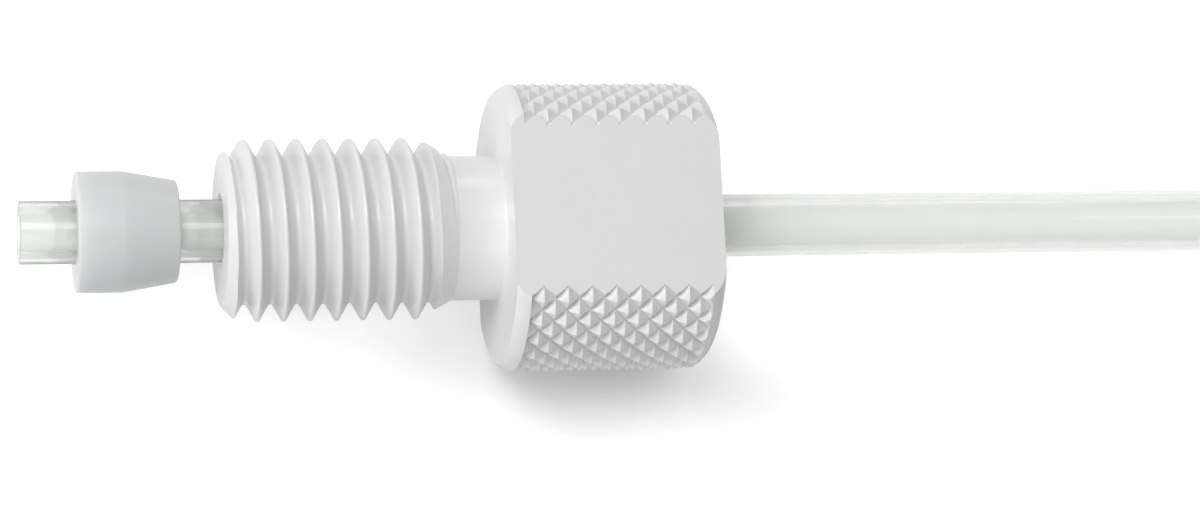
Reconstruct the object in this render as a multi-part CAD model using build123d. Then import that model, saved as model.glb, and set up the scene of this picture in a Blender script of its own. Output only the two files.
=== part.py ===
"""Finger-tight tube fitting: a knurled threaded nut, its loose ferrule and a length of clear tube.

Each piece is drawn along its own Z axis, measured from the tip of the nut, and is then laid
down along X so that the lower wrench flat of the nut rests on the ground plane.
"""

from build123d import *
from build123d.topology import SkipClean

import os
from math import ceil, cos, pi, radians, sin, sqrt, tan

# ---- Port thread: 1/4 inch by 28 turns to the inch, lengths in millimetres ----
THREAD_PITCH = 25.4 / 28
THREAD_CREST_DIAMETER = 6.23
THREAD_ROOT_DIAMETER = 5.05
THREAD_FLANK_ANGLE = 30.0
THREAD_ROOT_LAND = THREAD_PITCH / 8
THREADED_LENGTH = 7.88
FIRST_CREST_FROM_TIP = 0.76
THREAD_END_CHAMFER_ANGLE = 30.0
TIP_FACE_DIAMETER = 5.16
TIP_EDGE_RADIUS = 0.16
CREST_ARCS_PER_TURN = 24
GROOVE_START_ANGLE = 20.0
GROOVE_OVERCUT = 0.05

# ---- Relief shank between the thread and the head ----
SHANK_DIAMETER = 4.96
SHANK_LENGTH = 1.63
SHANK_ROOT_RADIUS = 0.15

# ---- Knurled head with two wrench flats ----
HEAD_DIAMETER = 9.95
HEAD_LENGTH = 7.19
ACROSS_FLATS = 7.6
FRONT_ROUND_LENGTH = 0.72
FRONT_ROUND_DROP = 0.33
BACK_ROUND_LENGTH = 0.80
BACK_ROUND_DROP = 0.52
PLAIN_RIM_LENGTH = 0.48

# ---- Diamond knurl: points and pits by turns, in rows along the head and columns around it ----
KNURL_ROW_COUNT = 15
KNURL_COLUMN_COUNT = 64
KNURL_DEPTH = 0.30
KNURL_BELOW_RIM = 0.01
KNURL_START_ANGLE = 2.5

# ---- Ferrule, its taper pointing at the nut ----
FERRULE_DIAMETER = 4.12
FERRULE_SMALL_DIAMETER = 3.47
FERRULE_PLAIN_LENGTH = 1.56
FERRULE_TAPER_LENGTH = 1.87
FERRULE_TO_NUT_GAP = 1.47

# ---- Tube ----
TUBE_DIAMETER = 2.16
TUBE_BORE_DIAMETER = 1.35
TUBE_AHEAD_OF_FERRULE = 1.89
TUBE_BEHIND_NUT = 20.0

# ---- Fits, each a clearance on the radius ----
NUT_ON_TUBE_CLEARANCE = 0.08
FERRULE_ON_TUBE_CLEARANCE = 0.03

# ---- Chamfers at the two mouths of the nut's bore ----
TIP_MOUTH_CHAMFER = 0.12
BACK_MOUTH_CHAMFER = 0.20

# ---- Sizes that follow from those above ----
crest_radius = THREAD_CREST_DIAMETER / 2
root_radius = THREAD_ROOT_DIAMETER / 2
shank_radius = SHANK_DIAMETER / 2
head_radius = HEAD_DIAMETER / 2
tube_radius = TUBE_DIAMETER / 2
shoulder_z = THREADED_LENGTH + SHANK_LENGTH
head_end_z = shoulder_z + HEAD_LENGTH
axis_height = ACROSS_FLATS / 2
OVERRUN = 0.5


def turned(*points):
    """Revolve a closed outline of (radius, z) points about the Z axis."""
    outline = make_face(Plane.XZ * Polyline(*points, close=True))
    return revolve(outline, Axis.Z)


def thread_blank_outline():
    """Half outline of the turned front of the nut, before its thread is cut."""
    tip_radius = TIP_FACE_DIAMETER / 2
    lead_in = crest_radius - tip_radius
    end_chamfer = (crest_radius - shank_radius) / tan(radians(THREAD_END_CHAMFER_ANGLE))
    corners = [
        (0, 0),
        (tip_radius, 0),
        (crest_radius, lead_in),
        (crest_radius, THREADED_LENGTH - end_chamfer),
        (shank_radius, THREADED_LENGTH),
        (0, THREADED_LENGTH),
    ]
    face = make_face(Polyline(*corners, close=True))
    tip_corner = face.vertices().sort_by_distance((tip_radius, 0))[0]
    return Plane.XZ * fillet(tip_corner, TIP_EDGE_RADIUS)


def thread_groove_turns():
    """One right-handed turn of the groove between the ridges, repeated past both ends."""
    flank_slope = tan(radians(THREAD_FLANK_ANGLE))
    mouth_radius = crest_radius + GROOVE_OVERCUT
    half_root = THREAD_ROOT_LAND / 2
    half_mouth = half_root + (mouth_radius - root_radius) * flank_slope
    outline = Polyline(
        (root_radius, -half_root),
        (mouth_radius, -half_mouth),
        (mouth_radius, half_mouth),
        (root_radius, half_root),
        close=True,
    )
    path = Helix(THREAD_PITCH, THREAD_PITCH, root_radius)
    turn = Rot(0, 0, GROOVE_START_ANGLE) * sweep(make_face(Plane.XZ * outline), path=path, is_frenet=True)
    first_z = FIRST_CREST_FROM_TIP + (GROOVE_START_ANGLE / 360 - 2.5) * THREAD_PITCH
    turn_count = ceil((THREADED_LENGTH - first_z) / THREAD_PITCH)
    return [Pos(0, 0, first_z + index * THREAD_PITCH) * turn for index in range(turn_count)]


def threaded_front():
    """The threaded length. Its crest stays in short arcs, so that each one can be measured."""
    step = 360 / CREST_ARCS_PER_TURN
    # turned half a step, so that no arc ends where a turn of the groove does
    first = Rot(0, 0, step / 2) * revolve(thread_blank_outline(), Axis.Z, step)
    others = [Rot(0, 0, step * index) * first for index in range(1, CREST_ARCS_PER_TURN)]
    with SkipClean():
        return first.fuse(*others).cut(*thread_groove_turns())


def relief_shank():
    """Plain neck behind the thread, flaring into the shoulder of the head."""
    foot = (shank_radius, shoulder_z - SHANK_ROOT_RADIUS)
    flare = TangentArc(foot, (shank_radius + SHANK_ROOT_RADIUS, shoulder_z), tangent=(0, 1))
    rest = Polyline(flare @ 1, (0, shoulder_z), (0, THREADED_LENGTH), (shank_radius, THREADED_LENGTH), foot)
    return revolve(make_face(Plane.XZ * (flare + rest)), Axis.Z)


def head_arcs():
    """The rounds at the front and at the back of the head, each tangent to its side."""
    front = TangentArc(
        (head_radius, shoulder_z + FRONT_ROUND_LENGTH),
        (head_radius - FRONT_ROUND_DROP, shoulder_z),
        tangent=(0, -1),
    )
    back = TangentArc(
        (head_radius, head_end_z - BACK_ROUND_LENGTH),
        (head_radius - BACK_ROUND_DROP, head_end_z),
        tangent=(0, 1),
    )
    return front, back


def head_radius_at(z):
    """Radius of the turned head at one height, its rounded ends included."""
    front, back = head_arcs()
    for arc, inward in ((front, front.arc_center.Y - z), (back, z - back.arc_center.Y)):
        if inward > 0:
            return arc.arc_center.X + sqrt(arc.radius**2 - inward**2)
    return head_radius


def knurl_body(start_z, length):
    """A solid round whose surface is a full diamond knurl of four-sided points."""
    rows, columns = KNURL_ROW_COUNT, KNURL_COLUMN_COUNT
    heights = [start_z + length * row / rows for row in range(rows + 1)]
    point_radii = [head_radius_at(z) - KNURL_BELOW_RIM for z in heights]

    def corner(row, column):
        radius = point_radii[row] - (0 if (row + column) % 2 == 0 else KNURL_DEPTH)
        angle = 2 * pi * (column % columns) / columns + radians(KNURL_START_ANGLE)
        return Vector(radius * cos(angle), radius * sin(angle), heights[row])

    faces = []
    for row in range(rows):
        for column in range(columns):
            low_left = corner(row, column)
            low_right = corner(row, column + 1)
            high_left = corner(row + 1, column)
            high_right = corner(row + 1, column + 1)
            # the fold between the two facets of a cell lies in the bottom of the groove
            if (row + column) % 2 == 0:
                triangles = [(low_left, low_right, high_left), (low_right, high_right, high_left)]
            else:
                triangles = [(low_left, low_right, high_right), (low_left, high_right, high_left)]
            faces += [Face(Wire.make_polygon(triangle)) for triangle in triangles]
    for row in (0, rows):
        ring = [corner(row, column) for column in range(columns)]
        faces.append(Face(Wire.make_polygon(ring)))
    return Solid(Shell(faces))


def knurled_head():
    """Head with plain rounded rims, the knurl between them and the two wrench flats."""
    front, back = head_arcs()
    ends = Polyline(front @ 1, (0, shoulder_z), (0, head_end_z), back @ 1)
    blank = revolve(make_face(Plane.XZ * (front + ends + back + Line(front @ 0, back @ 0))), Axis.Z)
    knurl_start = shoulder_z + PLAIN_RIM_LENGTH
    knurl_length = HEAD_LENGTH - 2 * PLAIN_RIM_LENGTH
    middle = Pos(0, 0, knurl_start + knurl_length / 2)
    rims = blank - middle * Cylinder(HEAD_DIAMETER, knurl_length)
    flat_depth = head_radius - axis_height + OVERRUN
    flat_centre = axis_height + flat_depth / 2
    flat_cutter = Box(2 * HEAD_DIAMETER, flat_depth, 2 * HEAD_LENGTH)
    flats = [middle * Pos(0, side * flat_centre, 0) * flat_cutter for side in (-1, 1)]
    return rims.fuse(knurl_body(knurl_start, knurl_length)) - flats


def nut_bore():
    """Through bore for the tube, chamfered at both mouths."""
    bore_radius = tube_radius + NUT_ON_TUBE_CLEARANCE
    return turned(
        (0, -OVERRUN),
        (bore_radius + TIP_MOUTH_CHAMFER + OVERRUN, -OVERRUN),
        (bore_radius, TIP_MOUTH_CHAMFER),
        (bore_radius, head_end_z - BACK_MOUTH_CHAMFER),
        (bore_radius + BACK_MOUTH_CHAMFER + OVERRUN, head_end_z + OVERRUN),
        (0, head_end_z + OVERRUN),
    )


def make_nut():
    """One moulding: threaded front, shank and knurled head, bored right through."""
    front, shank, head, bore = threaded_front(), relief_shank(), knurled_head(), nut_bore()
    with SkipClean():
        return front.fuse(shank, head).cut(bore)


def make_ferrule():
    """Plain ring at the port end, tapering towards the nut."""
    small_end_z = -FERRULE_TO_NUT_GAP
    taper_start_z = small_end_z - FERRULE_TAPER_LENGTH
    port_face_z = taper_start_z - FERRULE_PLAIN_LENGTH
    hole_radius = tube_radius + FERRULE_ON_TUBE_CLEARANCE
    return turned(
        (hole_radius, port_face_z),
        (FERRULE_DIAMETER / 2, port_face_z),
        (FERRULE_DIAMETER / 2, taper_start_z),
        (FERRULE_SMALL_DIAMETER / 2, small_end_z),
        (hole_radius, small_end_z),
    )


def make_tube():
    """Straight tube with square-cut ends."""
    ferrule_length = FERRULE_PLAIN_LENGTH + FERRULE_TAPER_LENGTH
    front_z = -(FERRULE_TO_NUT_GAP + ferrule_length + TUBE_AHEAD_OF_FERRULE)
    back_z = head_end_z + TUBE_BEHIND_NUT
    ring = Circle(tube_radius) - Circle(TUBE_BORE_DIAMETER / 2)
    return Pos(0, 0, front_z) * extrude(ring, back_z - front_z)


# The middle of the lower wrench flat comes to the origin
laid_down = Plane(
    origin=(-(shoulder_z + HEAD_LENGTH / 2), 0, axis_height),
    x_dir=(0, 1, 0),
    z_dir=(1, 0, 0),
)

os.makedirs("parts", exist_ok=True)
export_step(laid_down.location * make_nut(), "parts/nut.step")
export_step(laid_down.location * make_ferrule(), "parts/ferrule.step")
export_step(laid_down.location * make_tube(), "parts/tube.step")
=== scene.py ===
"""Finger-tight tube fitting on a pale table: white knurled nut, loose milky ferrule and clear tube.

Every piece is turned about the X axis in millimetres, measured from the tip of the nut, and is then
laid in the frame's metres over the node that it stands for.
"""

import logging
import math
import random
from dataclasses import dataclass, field
from enum import Enum

import bmesh
import bpy
from mathutils import Matrix, Vector


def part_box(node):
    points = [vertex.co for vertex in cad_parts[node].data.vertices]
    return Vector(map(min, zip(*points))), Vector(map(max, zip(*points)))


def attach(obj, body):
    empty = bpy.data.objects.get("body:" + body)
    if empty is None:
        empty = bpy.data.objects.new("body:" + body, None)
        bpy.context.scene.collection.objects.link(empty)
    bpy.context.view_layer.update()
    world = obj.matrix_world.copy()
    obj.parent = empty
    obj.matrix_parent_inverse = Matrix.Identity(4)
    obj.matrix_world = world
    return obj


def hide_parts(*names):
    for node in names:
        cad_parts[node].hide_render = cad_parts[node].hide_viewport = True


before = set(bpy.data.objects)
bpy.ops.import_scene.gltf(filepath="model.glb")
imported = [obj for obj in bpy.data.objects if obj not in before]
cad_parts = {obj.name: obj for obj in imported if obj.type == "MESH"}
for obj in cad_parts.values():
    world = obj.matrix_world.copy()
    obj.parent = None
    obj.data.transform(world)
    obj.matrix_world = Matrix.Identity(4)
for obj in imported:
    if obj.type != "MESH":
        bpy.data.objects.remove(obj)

log = logging.getLogger("fitting")

MM = 0.001  # metres in a millimetre
CUTS_PER_KNURL = 3  # faces along and around in half a knurl
NUT_COLUMNS = 192  # steps around the nut, CUTS_PER_KNURL to each of its half knurls
PLAIN_COLUMNS = 128  # steps around the ferrule and the tube
CUT_SLACK = 0.0001  # how near a cutting plane a vertex counts as on it, in mm
WELD_SLACK = 0.0005  # how near two vertices are made one, in mm
RIM_SLACK = 0.02  # how far a vertex of a rim may lie from the rim's plane, in mm
SPAN_SLACK = 0.001  # how far past a span a vertex still counts as in it, in mm
PLAIN_SHARP_DEGREES = 30.0  # angle past which an edge of the ferrule or the tube is sharp
Point = tuple[float, float]
Triple = tuple[float, float, float]
Rounding = tuple[float, int]


class Body(Enum):
    """Bodies of the frame that the pieces ride on."""

    NUT = "nut"
    FERRULE = "ferrule"
    TUBE = "tube"


class Slot(Enum):
    """Material slots of the record, one for each piece; the pieces here build their own materials.
    """

    NUT = "nut_polymer"
    FERRULE = "ferrule_polymer"
    TUBE = "clear_tube"


# ---------------------------------------------------------------- turning


@dataclass(frozen=True)
class Bend:
    """One corner of a turned outline.

    Args:
        x: Place along the axis, in mm from the tip of the nut.
        radius: Distance from the axis, in mm.
        rounding: How far the rounding reaches from the corner, in mm, 0 for a sharp one.
        steps: Segments in the rounding.
    """

    x: float
    radius: float
    rounding: float = 0.0
    steps: int = 3


def string_outline(bm: bmesh.types.BMesh, bends: list[Bend], closed: bool = False) -> list:
    """String a chain of edges through the bends and round its corners.

    Args:
        bm: Mesh that takes the chain.
        bends: Corners in order along the outline.
        closed: Whether the last corner joins the first.

    Returns:
        The vertices and edges of the finished chain, ready to spin.
    """
    before = set(bm.verts)
    corners = [bm.verts.new((bend.x, bend.radius, 0.0)) for bend in bends]
    pairs = list(zip(corners, corners[1:]))
    if closed:
        pairs.append((corners[-1], corners[0]))
    for pair in pairs:
        bm.edges.new(pair)
    roundings = sorted({(bend.rounding, bend.steps) for bend in bends if bend.rounding > 0})
    for rounding, steps in roundings:
        chosen = [
            corner
            for corner, bend in zip(corners, bends)
            if (bend.rounding, bend.steps) == (rounding, steps)
        ]
        bmesh.ops.bevel(
            bm,
            geom=chosen,
            offset=rounding,
            offset_type="OFFSET",
            segments=steps,
            profile=0.5,
            affect="VERTICES",
            clamp_overlap=True,
            material=-1,
        )
    verts = [vert for vert in bm.verts if vert not in before]
    edges = dict.fromkeys(edge for vert in verts for edge in vert.link_edges)
    return verts + list(edges)


def spin_outline(bm: bmesh.types.BMesh, chain: list, columns: int) -> None:
    """Turn a chain once about the X axis into a closed band.

    Args:
        bm: Mesh that holds the chain.
        chain: Vertices and edges to turn.
        columns: Steps in the full turn.
    """
    bmesh.ops.spin(
        bm,
        geom=chain,
        cent=(0, 0, 0),
        axis=(1, 0, 0),
        angle=2 * math.pi,
        steps=columns,
        use_merge=True,
        use_duplicate=False,
    )


def rim_edges(bm: bmesh.types.BMesh, x: float) -> list[bmesh.types.BMEdge]:
    """Open edges that lie in one plane across the axis.

    Args:
        bm: Mesh to look in.
        x: Place of the plane, in mm.

    Returns:
        The boundary edges found there.
    """
    return [
        edge
        for edge in bm.edges
        if edge.is_boundary and all(abs(v.co.x - x) < RIM_SLACK for v in edge.verts)
    ]


def set_radius(vert: bmesh.types.BMVert, radius: float) -> None:
    """Move a vertex straight out or in to a radius about the axis.

    Args:
        vert: Vertex to move.
        radius: Distance from the axis that it gets, in mm.
    """
    now = math.hypot(vert.co.y, vert.co.z)
    vert.co.y *= radius / now
    vert.co.z *= radius / now


def finish_mesh(
    bm: bmesh.types.BMesh, name: str, tip_x: float, axis_z: float, sharp_degrees: float
) -> bpy.types.Object:
    """Lay a turned mesh in the frame and make it an object.

    Args:
        bm: Mesh in mm, with the tip of the nut at 0.
        name: Name of the new object.
        tip_x: Where the tip of the nut lies in the frame, in metres.
        axis_z: Height of the axis in the frame, in metres.
        sharp_degrees: Angle between faces past which their edge is sharp.

    Returns:
        The object, at the origin, with its place in its mesh.
    """
    bmesh.ops.recalc_face_normals(bm, faces=bm.faces)
    place = Matrix.Translation((tip_x, 0.0, axis_z)) @ Matrix.Scale(MM, 4)
    bmesh.ops.transform(bm, matrix=place, verts=bm.verts)
    open_edges = sum(1 for edge in bm.edges if not edge.is_manifold)
    mesh = bpy.data.meshes.new(name)
    bm.to_mesh(mesh)
    bm.free()
    mesh.polygons.foreach_set("use_smooth", [True] * len(mesh.polygons))
    mesh.set_sharp_from_angle(angle=math.radians(sharp_degrees))
    piece = bpy.data.objects.new(name, mesh)
    bpy.context.scene.collection.objects.link(piece)
    log.info("%s: %d faces, %d open edges", name, len(mesh.polygons), open_edges)
    return piece


# ---------------------------------------------------------------- finishes


def set_inputs(node: bpy.types.Node, values: dict[str, object]) -> None:
    """Give a node's inputs their values.

    Args:
        node: Node to set.
        values: Value of each input, by the input's name.
    """
    for name, value in values.items():
        node.inputs[name].default_value = value


def add_math(
    tree: bpy.types.NodeTree, operation: str, *given: float | bpy.types.NodeSocket
) -> bpy.types.NodeSocket:
    """Add a math node.

    Args:
        tree: Node tree that takes it.
        operation: Name of what it does.
        given: Its inputs in order, each a number or a socket to link.

    Returns:
        Its output.
    """
    node = tree.nodes.new("ShaderNodeMath")
    node.operation = operation
    for socket, value in zip(node.inputs, given):
        if isinstance(value, bpy.types.NodeSocket):
            tree.links.new(value, socket)
        else:
            socket.default_value = value
    return node.outputs[0]


class GrainGroup:
    """Shader node group of fine grain, shared by all the polymers."""

    NAME = "polymer_grain"
    NUMBERS = ("Fine", "Broad", "Colour Spread", "Roughness", "Roughness Spread")
    BROAD_DETAIL = 3
    FINE_DETAIL = 2
    NOISE_MIDDLE = 0.5

    @classmethod
    def tree(cls) -> bpy.types.NodeTree:
        """Build the group once and hand it out after that.

        Returns:
            The node group, with colour, roughness and height as its outputs.
        """
        found = bpy.data.node_groups.get(cls.NAME)
        if found:
            return found
        group = bpy.data.node_groups.new(cls.NAME, "ShaderNodeTree")
        face = group.interface
        face.new_socket("Vector", in_out="INPUT", socket_type="NodeSocketVector")
        for name in cls.NUMBERS:
            face.new_socket(name, in_out="INPUT", socket_type="NodeSocketFloat")
        face.new_socket("Colour", in_out="INPUT", socket_type="NodeSocketColor")
        face.new_socket("Colour", in_out="OUTPUT", socket_type="NodeSocketColor")
        face.new_socket("Roughness", in_out="OUTPUT", socket_type="NodeSocketFloat")
        face.new_socket("Height", in_out="OUTPUT", socket_type="NodeSocketFloat")
        nodes, links = group.nodes, group.links
        given, out = nodes.new("NodeGroupInput"), nodes.new("NodeGroupOutput")
        broad, fine = nodes.new("ShaderNodeTexNoise"), nodes.new("ShaderNodeTexNoise")
        for noise, size, detail in (
            (broad, "Broad", cls.BROAD_DETAIL),
            (fine, "Fine", cls.FINE_DETAIL),
        ):
            noise.inputs["Detail"].default_value = detail
            links.new(given.outputs["Vector"], noise.inputs["Vector"])
            links.new(given.outputs[size], noise.inputs["Scale"])
        shade = cls._swing(group, broad, given.outputs["Colour Spread"])
        gloss = cls._swing(group, fine, given.outputs["Roughness Spread"])
        tint = nodes.new("ShaderNodeHueSaturation")
        links.new(add_math(group, "ADD", shade, 1.0), tint.inputs["Value"])
        links.new(given.outputs["Colour"], tint.inputs["Color"])
        links.new(tint.outputs["Color"], out.inputs["Colour"])
        rough = add_math(group, "ADD", gloss, given.outputs["Roughness"])
        links.new(rough, out.inputs["Roughness"])
        links.new(fine.outputs["Fac"], out.inputs["Height"])
        return group

    @classmethod
    def _swing(
        cls, group: bpy.types.NodeTree, noise: bpy.types.Node, spread: bpy.types.NodeSocket
    ) -> bpy.types.NodeSocket:
        """Scale a noise about zero by a spread.

        Args:
            group: Tree that holds the nodes.
            noise: Noise texture to read.
            spread: Socket that says how far it may swing.

        Returns:
            The noise, swinging about zero.
        """
        centred = add_math(group, "SUBTRACT", noise.outputs["Fac"], cls.NOISE_MIDDLE)
        return add_math(group, "MULTIPLY", centred, spread)


@dataclass(frozen=True)
class PolymerFinish:
    """A polymer surface: its colour, gloss and grain.

    Args:
        name: Name of the material.
        colour: Base colour, linear.
        roughness: Middle roughness.
        roughness_spread: Swing of the roughness.
        colour_spread: Swing of the colour's value.
        broad: Scale of the slow mottling, per metre.
        fine: Scale of the grain, per metre.
        stretch: Scale of the pattern along X, Y and Z.
        bump: Height of the grain, in metres.
        specular: Specular level.
        ior: Index of refraction.
        scatter: Weight of the light that wanders under the surface.
        scatter_reach: How far it wanders, in metres.
        transmission: Share of the light that passes through.
        clear_shadow: Share of a shadow ray that passes through.
    """

    name: str
    colour: Triple
    roughness: float = 0.4
    roughness_spread: float = 0.1
    colour_spread: float = 0.03
    broad: float = 500.0
    fine: float = 9000.0
    stretch: Triple = (1.0, 1.0, 1.0)
    bump: float = 0.000002
    specular: float = 0.5
    ior: float = 1.5
    scatter: float = 0.0
    scatter_reach: float = 0.001
    transmission: float = 0.0
    clear_shadow: float = 0.0

    def material(self) -> bpy.types.Material:
        """Build the material.

        Returns:
            A node material that reads Object coordinates.
        """
        made = bpy.data.materials.new(self.name)
        made.use_nodes = True
        nodes, links = made.node_tree.nodes, made.node_tree.links
        nodes.clear()
        out = nodes.new("ShaderNodeOutputMaterial")
        skin = nodes.new("ShaderNodeBsdfPrincipled")
        where, mapping = nodes.new("ShaderNodeTexCoord"), nodes.new("ShaderNodeMapping")
        mapping.inputs["Scale"].default_value = self.stretch
        links.new(where.outputs["Object"], mapping.inputs["Vector"])
        grain = nodes.new("ShaderNodeGroup")
        grain.node_tree = GrainGroup.tree()
        links.new(mapping.outputs["Vector"], grain.inputs["Vector"])
        bump = nodes.new("ShaderNodeBump")
        set_inputs(
            grain,
            {
                "Fine": self.fine,
                "Broad": self.broad,
                "Colour Spread": self.colour_spread,
                "Roughness": self.roughness,
                "Roughness Spread": self.roughness_spread,
                "Colour": (*self.colour, 1.0),
            },
        )
        set_inputs(bump, {"Distance": self.bump, "Strength": 1.0})
        set_inputs(
            skin,
            {
                "Specular IOR Level": self.specular,
                "IOR": self.ior,
                "Subsurface Weight": self.scatter,
                "Subsurface Scale": self.scatter_reach,
                "Subsurface Radius": (1.0, 1.0, 1.0),
                "Transmission Weight": self.transmission,
            },
        )
        links.new(grain.outputs["Height"], bump.inputs["Height"])
        links.new(bump.outputs["Normal"], skin.inputs["Normal"])
        links.new(grain.outputs["Colour"], skin.inputs["Base Color"])
        links.new(grain.outputs["Roughness"], skin.inputs["Roughness"])
        surface = skin.outputs["BSDF"]
        if self.clear_shadow > 0:
            surface = self._let_light_by(made.node_tree, surface)
        links.new(surface, out.inputs["Surface"])
        return made

    def _let_light_by(
        self, tree: bpy.types.NodeTree, surface: bpy.types.NodeSocket
    ) -> bpy.types.NodeSocket:
        """Let part of each shadow ray through, as clear plastic does.

        Args:
            tree: Node tree of the material.
            surface: Shader so far.

        Returns:
            The mixed shader.
        """
        nodes, links = tree.nodes, tree.links
        path, gap = nodes.new("ShaderNodeLightPath"), nodes.new("ShaderNodeBsdfTransparent")
        mix = nodes.new("ShaderNodeMixShader")
        share = add_math(tree, "MULTIPLY", path.outputs["Is Shadow Ray"], self.clear_shadow)
        links.new(share, mix.inputs["Fac"])
        links.new(surface, mix.inputs[1])
        links.new(gap.outputs[0], mix.inputs[2])
        return mix.outputs[0]


WHITE_NUT = PolymerFinish(
    name="white_nut_polymer",
    colour=(0.83, 0.83, 0.83),
    roughness=0.25,
    roughness_spread=0.06,
    bump=0.0000004,
    specular=0.8,
    scatter=0.08,
    scatter_reach=0.00012,
)
MILKY_FERRULE = PolymerFinish(
    name="milky_ferrule_polymer",
    colour=(0.735, 0.747, 0.75),
    roughness=0.34,
    broad=350.0,
    colour_spread=0.04,
    specular=0.5,
    ior=1.36,
    scatter=0.8,
    scatter_reach=0.0009,
)
CLEAR_TUBE = PolymerFinish(
    name="clear_tube_polymer",
    colour=(0.835, 0.85, 0.825),
    roughness=0.10,
    roughness_spread=0.03,
    colour_spread=0.02,
    broad=700.0,
    fine=3000.0,
    stretch=(0.06, 1.0, 1.0),
    bump=0.0000001,
    specular=0.25,
    ior=1.34,
    transmission=0.76,
    clear_shadow=0.8,
)


# ---------------------------------------------------------------- pieces


@dataclass
class Nut:
    """The moulded nut: threaded front, relief shank and knurled head with two wrench flats.

    Sizes are in mm unless they say otherwise, and places along the axis are measured from the tip.

    Args:
        tip_x: Where the tip lies in the frame, in metres.
        axis_z: Height of the axis in the frame, in metres.
        pitch: Step of the thread.
        crest_radius: Radius over the crests of the thread.
        root_radius: Radius in its roots.
        flank_degrees: Slope of a flank, from straight across the axis.
        root_parts: How many half roots fill a pitch.
        root_rounding: Reach and steps of the rounding at a root.
        crest_rounding: Reach and steps of the rounding at a crest.
        flank_cuts: Cuts across each flank, so that trimming keeps it even.
        flank_least: Length past which an edge of the outline is a flank.
        first_crest: Place of the first crest.
        lead_turns: Turns swept ahead of the first crest, to be trimmed.
        thread_end: Place where the thread has run out.
        end_chamfer: Length of the run-out.
        tip_radius: Radius of the tip face.
        tip_rounding: Radius of the tip's rounded edge.
        neck: Gap between the threaded length and the shank, bridged later.
        shank_radius: Radius of the relief behind the thread.
        shoulder: Place of the head's front face.
        shoulder_rounding: Reach and steps of the rounding where the shank meets it.
        head_end: Place of the head's back face.
        head_radius: Radius of the head.
        half_flats: Distance from the axis to a wrench flat.
        rim: Length of the plain rim at each end of the knurl.
        rim_steps: Steps along a rim.
        front_round: Length and depth of the round at the head's front.
        back_round: Length and depth of the round at its back.
        knurl_depth: Depth of the pits of the knurl.
        knurl_groove: Further depth in the middle of a pit.
        knurl_peak: Height of a point before wear.
        knurl_wear: Lowest and highest change in a point's height.
        knurl_lead: Plain step between a rim and the knurl.
        knurl_rows: Half knurls along the head.
        knurl_columns: Half knurls around it.
        knurl_turn: Turn of the knurl about the axis, in degrees.
        side_least: Height over the shank past which a vertex is on the head's side.
        bore_radius: Radius of the bore.
        bore_rounding: Reach and steps of the rounding at the bore's edges.
        tip_chamfer: Chamfer of the bore at the tip.
        tip_chamfer_rounding: Reach and steps of the rounding at that chamfer.
        tip_ring: Width of the ring around that chamfer.
        back_chamfer: Chamfer of the bore at the back.
        sharp_degrees: Angle between faces past which their edge is sharp.
        dice: Seeded draws for the wear of the knurl.
    """

    tip_x: float
    axis_z: float
    pitch: float = 25.4 / 28
    crest_radius: float = 3.115
    root_radius: float = 2.525
    flank_degrees: float = 30.0
    root_parts: int = 14
    root_rounding: Rounding = (0.064, 5)
    crest_rounding: Rounding = (0.035, 3)
    flank_cuts: int = 7
    flank_least: float = 0.3
    first_crest: float = 0.76
    lead_turns: int = 2
    thread_end: float = 7.88
    end_chamfer: float = 1.10
    tip_radius: float = 2.58
    tip_rounding: float = 0.16
    neck: float = 0.06
    shank_radius: float = 2.48
    shoulder: float = 9.51
    shoulder_rounding: Rounding = (0.07, 4)
    head_end: float = 16.70
    head_radius: float = 4.975
    half_flats: float = 3.8
    rim: float = 0.48
    rim_steps: int = 6
    front_round: Point = (0.72, 0.33)
    back_round: Point = (0.80, 0.52)
    knurl_depth: float = 0.22
    knurl_groove: float = 0.08
    knurl_peak: float = 0.02
    knurl_wear: Point = (-0.014, 0.010)
    knurl_lead: float = 0.012
    knurl_rows: int = 15
    knurl_columns: int = 64
    knurl_turn: float = 2.5
    side_least: float = 1.5
    bore_radius: float = 1.16
    bore_rounding: Rounding = (0.03, 2)
    tip_chamfer: float = 0.12
    tip_chamfer_rounding: Rounding = (0.04, 3)
    tip_ring: float = 0.12
    back_chamfer: float = 0.20
    sharp_degrees: float = 24.0
    dice: random.Random = field(default_factory=lambda: random.Random(28))

    def build(self) -> bpy.types.Object:
        """Model the nut and dress it.

        Returns:
            The finished piece.
        """
        bm = bmesh.new()
        self.cut_thread(bm)
        self.turn_head(bm)
        self.join_turned_parts(bm)
        self.knurl_head(bm)
        self.mill_flats(bm)
        piece = finish_mesh(bm, "knurled_nut", self.tip_x, self.axis_z, self.sharp_degrees)
        piece.data.materials.append(WHITE_NUT.material())
        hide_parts("nut")
        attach(piece, Body.NUT.value)
        return piece

    def blank_radius(self, x: float) -> float:
        """Radius of the turned front before its thread is cut.

        Args:
            x: Place along the axis.

        Returns:
            The radius there.
        """
        chamfer_start = self.thread_end - self.end_chamfer
        if x >= chamfer_start:
            slope = (self.crest_radius - self.shank_radius) / self.end_chamfer
            return max(self.shank_radius, self.crest_radius - (x - chamfer_start) * slope)
        flat_end = self.tip_rounding * (1 - math.cos(math.pi / 4))
        if x < flat_end:
            centre = self.tip_radius - self.tip_rounding * math.tan(math.pi / 8)
            inward = self.tip_rounding - max(x, 0.0)
            return centre + math.sqrt(max(self.tip_rounding**2 - inward**2, 0.0))
        return min(self.crest_radius, self.tip_radius + x)

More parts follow.
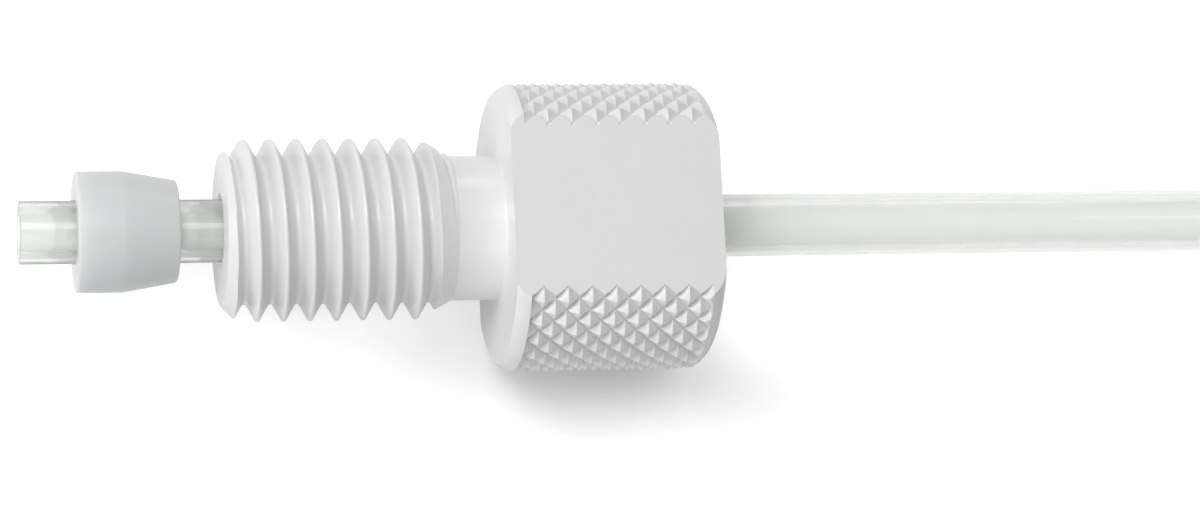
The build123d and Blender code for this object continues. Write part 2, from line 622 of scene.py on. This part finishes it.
    def cut_thread(self, bm: bmesh.types.BMesh) -> None:
        """Sweep the ridges along their helix and trim them to the turned blank.

        Args:
            bm: Empty mesh that takes the threaded length.
        """
        run = (self.crest_radius - self.root_radius) * math.tan(math.radians(self.flank_degrees))
        root = self.pitch / self.root_parts
        crest = self.pitch / 2 - root - run
        bends = []
        swept = self.thread_end + (self.lead_turns + 0.5) * self.pitch
        for turn in range(math.ceil(swept / self.pitch)):
            middle = self.first_crest + (turn - self.lead_turns) * self.pitch
            if turn == 0:
                bends.append(Bend(middle - self.pitch / 2, self.root_radius))
            bends += [
                Bend(middle - crest - run, self.root_radius, *self.root_rounding),
                Bend(middle - crest, self.crest_radius, *self.crest_rounding),
                Bend(middle + crest, self.crest_radius, *self.crest_rounding),
                Bend(middle + crest + run, self.root_radius, *self.root_rounding),
                Bend(middle + self.pitch / 2, self.root_radius),
            ]
        chain = string_outline(bm, bends)
        flanks = [
            edge
            for edge in chain
            if isinstance(edge, bmesh.types.BMEdge) and edge.calc_length() > self.flank_least
        ]
        bmesh.ops.subdivide_edges(bm, edges=flanks, cuts=self.flank_cuts)
        bmesh.ops.spin(
            bm,
            geom=bm.verts[:] + bm.edges[:],
            cent=(0, 0, 0),
            axis=(1, 0, 0),
            dvec=(self.pitch / NUT_COLUMNS, 0, 0),
            angle=2 * math.pi,
            steps=NUT_COLUMNS,
            use_merge=False,
            use_duplicate=False,
        )
        bmesh.ops.remove_doubles(bm, verts=bm.verts, dist=WELD_SLACK)
        for vert in bm.verts:
            now = math.hypot(vert.co.y, vert.co.z)
            most = self.blank_radius(vert.co.x)
            if now > most:
                set_radius(vert, most)
        for x, side in ((0.0, -1), (self.thread_end, 1)):
            bmesh.ops.bisect_plane(
                bm,
                geom=bm.verts[:] + bm.edges[:] + bm.faces[:],
                dist=CUT_SLACK,
                plane_co=(x, 0, 0),
                plane_no=(side, 0, 0),
                clear_outer=True,
            )
            for edge in rim_edges(bm, x):
                for vert in edge.verts:
                    set_radius(vert, self.blank_radius(x))

    def turn_head(self, bm: bmesh.types.BMesh) -> None:
        """Turn everything but the thread: shank, shoulder, head and bore.

        Args:
            bm: Mesh that takes the turned band.
        """
        band_start, band_end = self.shoulder + self.rim, self.head_end - self.rim
        rows = CUTS_PER_KNURL * self.knurl_rows
        band = [band_start + (band_end - band_start) * row / rows for row in range(rows + 1)]
        band = [band[0] - self.knurl_lead] + band + [band[-1] + self.knurl_lead]
        steps = self.rim_steps
        front = [self.shoulder + self.rim * step / steps for step in range(steps)]
        back = [self.head_end - self.rim * (1 - step / steps) for step in range(1, steps + 1)]
        outside = [Bend(x, self.head_radius_at(x)) for x in front + band + back]
        bends = [
            Bend(self.thread_end + self.neck, self.shank_radius),
            Bend(self.shoulder, self.shank_radius, *self.shoulder_rounding),
            *outside,
            Bend(self.head_end, self.bore_radius + self.back_chamfer, *self.bore_rounding),
            Bend(self.head_end - self.back_chamfer, self.bore_radius, *self.bore_rounding),
            Bend(self.tip_chamfer, self.bore_radius, *self.bore_rounding),
            Bend(0.0, self.bore_radius + self.tip_chamfer, *self.tip_chamfer_rounding),
            Bend(0.0, self.bore_radius + self.tip_chamfer + self.tip_ring),
        ]
        chain = string_outline(bm, bends)
        turn = Matrix.Rotation(math.radians(self.knurl_turn), 3, "X")
        corners = [part for part in chain if isinstance(part, bmesh.types.BMVert)]
        bmesh.ops.rotate(bm, cent=(0, 0, 0), matrix=turn, verts=corners)
        spin_outline(bm, chain, NUT_COLUMNS)

    def head_radius_at(self, x: float) -> float:
        """Radius of the turned head at one place, its rounded ends included.

        Args:
            x: Place along the axis.

        Returns:
            The radius there.
        """
        for (length, drop), inward in (
            (self.front_round, self.shoulder + self.front_round[0] - x),
            (self.back_round, x - self.head_end + self.back_round[0]),
        ):
            if inward > 0:
                sweep = (length**2 + drop**2) / (2 * drop)
                return self.head_radius - sweep + math.sqrt(sweep**2 - inward**2)
        return self.head_radius

    def join_turned_parts(self, bm: bmesh.types.BMesh) -> None:
        """Bridge the threaded length to the rest at the tip face and at the shank.

        Args:
            bm: Mesh that holds both.
        """
        bmesh.ops.bridge_loops(bm, edges=rim_edges(bm, 0.0))
        neck = rim_edges(bm, self.thread_end) + rim_edges(bm, self.thread_end + self.neck)
        bmesh.ops.bridge_loops(bm, edges=neck)

    def knurl_head(self, bm: bmesh.types.BMesh) -> None:
        """Press the diamond knurl into the side of the head.

        Args:
            bm: Mesh with the plain head.
        """
        start, end = self.shoulder + self.rim, self.head_end - self.rim
        half_x = (end - start) / self.knurl_rows
        half_a = 2 * math.pi / self.knurl_columns
        turn = math.radians(self.knurl_turn)
        worn: dict[tuple[int, int], float] = {}
        pressed = set()
        for vert in bm.verts:
            radius = math.hypot(vert.co.y, vert.co.z)
            on_side = radius >= self.shank_radius + self.side_least
            if not on_side or not start - SPAN_SLACK < vert.co.x < end + SPAN_SLACK:
                continue
            u = (vert.co.x - start) / half_x
            v = (math.atan2(vert.co.z, vert.co.y) - turn) / half_a
            row, column = self.nearest_point(u, v)
            away = abs(u - row) + abs(v - column)
            key = (row, column % self.knurl_columns)
            if key not in worn:
                worn[key] = self.dice.uniform(*self.knurl_wear)
            peak = (self.knurl_peak + worn[key]) * max(0.0, 1.0 - away)
            pit = self.knurl_depth * min(away, 1.0)
            groove = self.knurl_groove * max(0.0, CUTS_PER_KNURL * away - (CUTS_PER_KNURL - 1))
            set_radius(vert, min(self.head_radius + peak - pit - groove, radius))
            pressed.add(vert)
        faces = [face for face in bm.faces if all(vert in pressed for vert in face.verts)]
        bmesh.ops.triangulate(bm, faces=faces, quad_method="SHORT_EDGE")

    @staticmethod
    def nearest_point(u: float, v: float) -> tuple[int, int]:
        """Grid place of the knurl point nearest to a spot on the side.

        Args:
            u: Place along the axis, in half knurls.
            v: Place around the axis, in half knurls.

        Returns:
            Row and column of the point; their sum is even.
        """
        best, found = math.inf, (0, 0)
        for row in (math.floor(u), math.floor(u) + 1):
            for column in (math.floor(v), math.floor(v) + 1):
                away = abs(u - row) + abs(v - column)
                if (row + column) % 2 == 0 and away < best:
                    best, found = away, (row, column)
        return found

    def mill_flats(self, bm: bmesh.types.BMesh) -> None:
        """Mill the two wrench flats and close them.

        Args:
            bm: Mesh with the knurled head.
        """
        for side in (-1, 1):
            cut = bmesh.ops.bisect_plane(
                bm,
                geom=bm.verts[:] + bm.edges[:] + bm.faces[:],
                dist=CUT_SLACK,
                plane_co=(0, 0, side * self.half_flats),
                plane_no=(0, 0, side),
                clear_outer=True,
            )
            rim = [
                edge
                for edge in cut["geom_cut"]
                if isinstance(edge, bmesh.types.BMEdge) and edge.is_boundary
            ]
            bmesh.ops.edgenet_fill(bm, edges=rim)


@dataclass
class Ferrule:
    """The loose ferrule: a plain ring at the port end that tapers towards the nut.

    Sizes are in mm unless they say otherwise, and places along the axis are measured from the
    tip of the nut.

    Args:
        tip_x: Where the tip of the nut lies in the frame, in metres.
        axis_z: Height of the axis in the frame, in metres.
        port_face: Place of the wide end.
        taper_start: Place where the taper starts.
        small_end: Place of the narrow end.
        radius: Radius of the plain ring.
        small_radius: Radius of the narrow end.
        hole_radius: Radius of the hole.
        wide_rounding: Reach and steps of the rounding at the wide end.
        taper_rounding: Reach and steps of the rounding where the taper starts.
        small_rounding: Reach and steps of the rounding at the narrow end.
        hole_rounding: Reach and steps of the rounding at the hole's edges.
    """

    tip_x: float
    axis_z: float
    port_face: float = -4.90
    taper_start: float = -3.34
    small_end: float = -1.47
    radius: float = 2.06
    small_radius: float = 1.735
    hole_radius: float = 1.11
    wide_rounding: Rounding = (0.06, 4)
    taper_rounding: Rounding = (0.03, 3)
    small_rounding: Rounding = (0.09, 4)
    hole_rounding: Rounding = (0.04, 3)

    def build(self) -> bpy.types.Object:
        """Turn the ferrule and dress it.

        Returns:
            The finished piece.
        """
        bm = bmesh.new()
        bends = [
            Bend(self.port_face, self.radius, *self.wide_rounding),
            Bend(self.taper_start, self.radius, *self.taper_rounding),
            Bend(self.small_end, self.small_radius, *self.small_rounding),
            Bend(self.small_end, self.hole_radius, *self.hole_rounding),
            Bend(self.port_face, self.hole_radius, *self.hole_rounding),
        ]
        spin_outline(bm, string_outline(bm, bends, closed=True), PLAIN_COLUMNS)
        piece = finish_mesh(bm, "tapered_ferrule", self.tip_x, self.axis_z, PLAIN_SHARP_DEGREES)
        piece.data.materials.append(MILKY_FERRULE.material())
        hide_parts("ferrule")
        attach(piece, Body.FERRULE.value)
        return piece


@dataclass
class Tube:
    """The straight clear tube with square-cut ends.

    Sizes are in mm unless they say otherwise, and places along the axis are measured from the
    tip of the nut.

    Args:
        tip_x: Where the tip of the nut lies in the frame, in metres.
        axis_z: Height of the axis in the frame, in metres.
        port_end: Place of the end ahead of the ferrule.
        far_end: Place of the free end.
        radius: Outer radius.
        bore_radius: Inner radius.
        outer_rounding: Reach and steps of the rounding at the outer edges.
        bore_rounding: Reach and steps of the rounding at the bore's edges.
    """

    tip_x: float
    axis_z: float
    port_end: float = -6.79
    far_end: float = 36.70
    radius: float = 1.08
    bore_radius: float = 0.675
    outer_rounding: Rounding = (0.03, 2)
    bore_rounding: Rounding = (0.02, 2)

    def build(self) -> bpy.types.Object:
        """Draw the tube and dress it.

        Returns:
            The finished piece.
        """
        bm = bmesh.new()
        bends = [
            Bend(self.port_end, self.radius, *self.outer_rounding),
            Bend(self.far_end, self.radius, *self.outer_rounding),
            Bend(self.far_end, self.bore_radius, *self.bore_rounding),
            Bend(self.port_end, self.bore_radius, *self.bore_rounding),
        ]
        spin_outline(bm, string_outline(bm, bends, closed=True), PLAIN_COLUMNS)
        piece = finish_mesh(bm, "clear_tube", self.tip_x, self.axis_z, PLAIN_SHARP_DEGREES)
        piece.data.materials.append(CLEAR_TUBE.material())
        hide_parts("tube")
        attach(piece, Body.TUBE.value)
        return piece


# ---------------------------------------------------------------- studio


@dataclass(frozen=True)
class Softbox:
    """A flat studio lamp that looks at the nut.

    Args:
        name: Name of the lamp.
        place: Where it hangs, in metres from the middle of the nut.
        size: Its two sides, in metres.
        power: Its power, in watts.
    """

    name: str
    place: Triple
    size: Point
    power: float

    def hang(self, target: Vector) -> None:
        """Hang the lamp and turn it to the target.

        Args:
            target: Point that it looks at.
        """
        light = bpy.data.lights.new(self.name, "AREA")
        light.shape, light.energy = "RECTANGLE", self.power
        light.size, light.size_y = self.size
        lamp = bpy.data.objects.new(self.name, light)
        lamp.location = target + Vector(self.place)
        lamp.rotation_euler = (target - lamp.location).to_track_quat("-Z", "Y").to_euler()
        bpy.context.scene.collection.objects.link(lamp)


@dataclass(frozen=True)
class WhiteGround:
    """White that the eye sees behind the object, on the floor and in the room.

    The eye's own rays meet all of it, rays that come by a reflection or through clear plastic
    meet a share, and the rays that light other surfaces meet none. On the floor the white is taken
    down near the object and in a pool under the head, which paints shade and a soft shadow there.

    Args:
        mirrored: Share that reflected rays meet.
        through_to_floor: Share of the floor's white that rays meet through clear plastic.
        through_to_room: Share of the room's white that they meet.
        glow: The floor's white where nothing is near it.
        painted_shade_reach: How near a surface takes white away from the floor, painting shade
            there, in metres.
        painted_shade_span: Openness of the floor at which the white starts, and at which it is
            full; less open spots are painted darker as shade.
        glow_outside_painted_shadow: White that the floor has besides, outside the painted shadow
            pool under the head.
        painted_shadow_middle: Middle of that painted shadow pool on the floor, in metres.
        painted_shadow_half: Half its length and half its width, in metres.
        painted_shadow_span: Where its soft edge starts and ends, as shares of its half sizes.
    """

    mirrored: float = 0.45
    through_to_floor: float = 0.38
    through_to_room: float = 0.80
    glow: float = 0.45
    # Painted shade: the floor's white is taken down where a surface of the object is near.
    painted_shade_reach: float = 0.0045
    painted_shade_span: Point = (0.27, 0.84)
    # Painted shadow: extra white outside a soft pool under the head, so the floor stays darker
    # inside it.
    glow_outside_painted_shadow: float = 0.45
    painted_shadow_middle: Triple = (0.0, -0.0056, 0.0)
    painted_shadow_half: Triple = (0.0135, 0.0027, 1.0)
    painted_shadow_span: Point = (0.35, 1.40)

    def share(self, tree: bpy.types.NodeTree, through: float) -> bpy.types.NodeSocket:
        """Share of the white that each kind of ray meets.

        Args:
            tree: Node tree of the floor's material or of the world.
            through: Share that rays meet through clear plastic.

        Returns:
            The share, from 0 to 1.
        """
        path = tree.nodes.new("ShaderNodeLightPath")
        mirror = add_math(tree, "MULTIPLY", path.outputs["Is Glossy Ray"], self.mirrored)
        clear_ray = path.outputs["Is Transmission Ray"]
        clear = add_math(tree, "MULTIPLY_ADD", clear_ray, through, mirror)
        return add_math(tree, "MAXIMUM", clear, path.outputs["Is Camera Ray"])

    def floor_glow_with_painted_shade(self, tree: bpy.types.NodeTree) -> bpy.types.NodeSocket:
        """White of each spot of the floor: less near the object and under the head, which paints
        shade near the object and a soft shadow pool under the head.

        Args:
            tree: Node tree of the floor's material.

        Returns:
            The level, 0 for none.
        """
        nodes, links = tree.nodes, tree.links
        # Painted shade: the floor's glow falls where a surface is near, darkening the floor around
        # the object.
        near, painted_shade_glow = nodes.new("ShaderNodeAmbientOcclusion"), nodes.new("ShaderNodeMapRange")
        near.inputs["Distance"].default_value = self.painted_shade_reach
        self._span(painted_shade_glow, self.painted_shade_span, self.glow)
        links.new(near.outputs["AO"], painted_shade_glow.inputs["Value"])
        # Painted shadow: extra glow outside a soft ellipse under the head leaves the floor darker
        # there and hides shadows elsewhere.
        where, pool = nodes.new("ShaderNodeTexCoord"), nodes.new("ShaderNodeMapping")
        reach, edge = nodes.new("ShaderNodeVectorMath"), nodes.new("ShaderNodeMapRange")
        pool.vector_type = "TEXTURE"
        set_inputs(pool, {"Location": self.painted_shadow_middle, "Scale": self.painted_shadow_half})
        reach.operation = "LENGTH"
        edge.interpolation_type = "SMOOTHSTEP"
        self._span(edge, self.painted_shadow_span, self.glow_outside_painted_shadow)
        links.new(where.outputs["Object"], pool.inputs["Vector"])
        links.new(pool.outputs["Vector"], reach.inputs[0])
        links.new(reach.outputs["Value"], edge.inputs["Value"])
        return add_math(tree, "ADD", painted_shade_glow.outputs[0], edge.outputs[0])

    @staticmethod
    def _span(node: bpy.types.Node, span: Point, most: float) -> None:
        """Set a map range node to rise from 0 to its most across a span."""
        set_inputs(node, {"From Min": span[0], "From Max": span[1], "To Max": most})


@dataclass(frozen=True)
class Camera:
    """The camera above the nut, a little to the left and in front.

    Args:
        distance: How far it is from its target, in metres.
        aim_x: Place of the target along the tube, in metres.
        aim_drop: How far the target lies below the axis in the picture, in metres.
        yaw: Turn to the left, in degrees.
        lift: Height above the horizon, in degrees.
        roll: Roll about the line of sight, in degrees.
        lens: Focal length, in mm.
        sensor: Width of the sensor, in mm.
        clip_start: Nearest distance that it sees, in metres.
    """

    distance: float = 0.150
    aim_x: float = 0.00006
    aim_drop: float = 0.001235
    yaw: float = 11.3
    lift: float = 79.16
    roll: float = -0.706
    lens: float = 130.2
    sensor: float = 36.0
    clip_start: float = 0.001

    def aim(self, axis_z: float) -> None:
        """Set the camera up and make it the scene's.

        Args:
            axis_z: Height of the tube's axis, in metres.
        """
        yaw, lift = math.radians(self.yaw), math.radians(self.lift)
        toward = Vector(
            (-math.sin(yaw), -math.cos(yaw) * math.cos(lift), math.cos(yaw) * math.sin(lift))
        )
        up = Vector((0.0, math.sin(lift), math.cos(lift)))
        target = Vector((self.aim_x, 0.0, axis_z)) - up * self.aim_drop
        right = up.cross(toward).normalized()
        turn = Matrix((right, toward.cross(right), toward)).transposed().to_4x4()
        roll = Matrix.Rotation(math.radians(self.roll), 4, "Z")
        camera = bpy.data.objects.new("camera", bpy.data.cameras.new("camera"))
        camera.data.lens, camera.data.sensor_width = self.lens, self.sensor
        camera.data.clip_start = self.clip_start
        camera.matrix_world = Matrix.Translation(target + toward * self.distance) @ turn @ roll
        bpy.context.scene.collection.objects.link(camera)
        bpy.context.scene.camera = camera


@dataclass(frozen=True)
class Studio:
    """Pale floor, soft lamps, plain room and camera.

    Args:
        axis_z: Height of the tube's axis, in metres.
        floor_half: Half the floor's side, in metres.
        floor_segments: Faces along each side of it.
        floor_white: Brightness of its surface.
        floor_roughness: Roughness of its surface.
        floor_specular: Specular level of its surface.
        room: Level of the plain light from all around.
        ground: White behind the object, with painted shade and a painted shadow pool on the floor.
        camera: The camera.
        lamps: The lamps.
    """

    axis_z: float
    floor_half: float = 1.5
    floor_segments: int = 8
    floor_white: float = 0.72
    floor_roughness: float = 0.9
    floor_specular: float = 0.1
    room: float = 0.26
    ground: WhiteGround = WhiteGround()
    camera: Camera = Camera()
    lamps: tuple[Softbox, ...] = (
        Softbox("left_box", (-0.24, -0.01, 0.10), (0.14, 0.14), 0.17),
        Softbox("front_box", (-0.10, -0.20, 0.16), (0.20, 0.20), 0.155),
        Softbox("back_box", (0.08, 0.22, 0.09), (0.16, 0.10), 0.08),
        Softbox("top_box", (-0.11, 0.065, 0.25), (0.10, 0.18), 0.40),
    )

    def build(self) -> None:
        """Lay the floor, light the room, hang the lamps and aim the camera."""
        bpy.context.scene.view_settings.view_transform = "Standard"
        self.lay_floor()
        self.light_room()
        for lamp in self.lamps:
            lamp.hang(Vector((self.camera.aim_x, 0.0, self.axis_z)))
        self.camera.aim(self.axis_z)

    def lay_floor(self) -> None:
        """Lay the pale floor that the nut rests on."""
        bm = bmesh.new()
        cells = self.floor_segments
        bmesh.ops.create_grid(bm, x_segments=cells, y_segments=cells, size=self.floor_half)
        mesh = bpy.data.meshes.new("pale_floor")
        bm.to_mesh(mesh)
        bm.free()
        floor = bpy.data.objects.new("pale_floor", mesh)
        bpy.context.scene.collection.objects.link(floor)
        mesh.materials.append(self.floor_material())

    def floor_material(self) -> bpy.types.Material:
        """Build the floor's material: matt and pale, with the white ground as its glow, which also
        paints shade near the object and a shadow pool under the head.

        Returns:
            The material.
        """
        made = bpy.data.materials.new("pale_floor")
        made.use_nodes = True
        tree = made.node_tree
        skin = tree.nodes["Principled BSDF"]
        set_inputs(
            skin,
            {
                "Base Color": (self.floor_white, self.floor_white, self.floor_white, 1.0),
                "Roughness": self.floor_roughness,
                "Specular IOR Level": self.floor_specular,
                "Emission Color": (1.0, 1.0, 1.0, 1.0),
            },
        )
        seen = self.ground.share(tree, self.ground.through_to_floor)
        glow = add_math(tree, "MULTIPLY", seen, self.ground.floor_glow_with_painted_shade(tree))
        tree.links.new(glow, skin.inputs["Emission Strength"])
        return made

    def light_room(self) -> None:
        """Fill the room with plain pale light, and put the white ground behind it."""
        world = bpy.data.worlds.new("pale_room")
        bpy.context.scene.world = world
        world.use_nodes = True
        tree = world.node_tree
        nodes, links = tree.nodes, tree.links
        nodes.clear()
        out, back = nodes.new("ShaderNodeOutputWorld"), nodes.new("ShaderNodeBackground")
        level = nodes.new("ShaderNodeMapRange")
        set_inputs(level, {"To Min": self.room, "To Max": 1.0})
        links.new(self.ground.share(tree, self.ground.through_to_room), level.inputs["Value"])
        links.new(level.outputs[0], back.inputs["Strength"])
        links.new(back.outputs[0], out.inputs["Surface"])


def main() -> None:
    """Build the fitting and its studio, and report each piece."""
    logging.basicConfig(level=logging.INFO, format="%(name)s %(message)s")
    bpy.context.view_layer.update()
    nut_low, nut_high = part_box("nut")
    tip_x, axis_z = nut_low.x, (nut_low.z + nut_high.z) / 2
    for part in (Nut(tip_x, axis_z), Ferrule(tip_x, axis_z), Tube(tip_x, axis_z)):
        piece = part.build()
        log.info("%s stands in for its node", piece.name)
    Studio(axis_z).build()


if __name__ == "__main__":
    main()
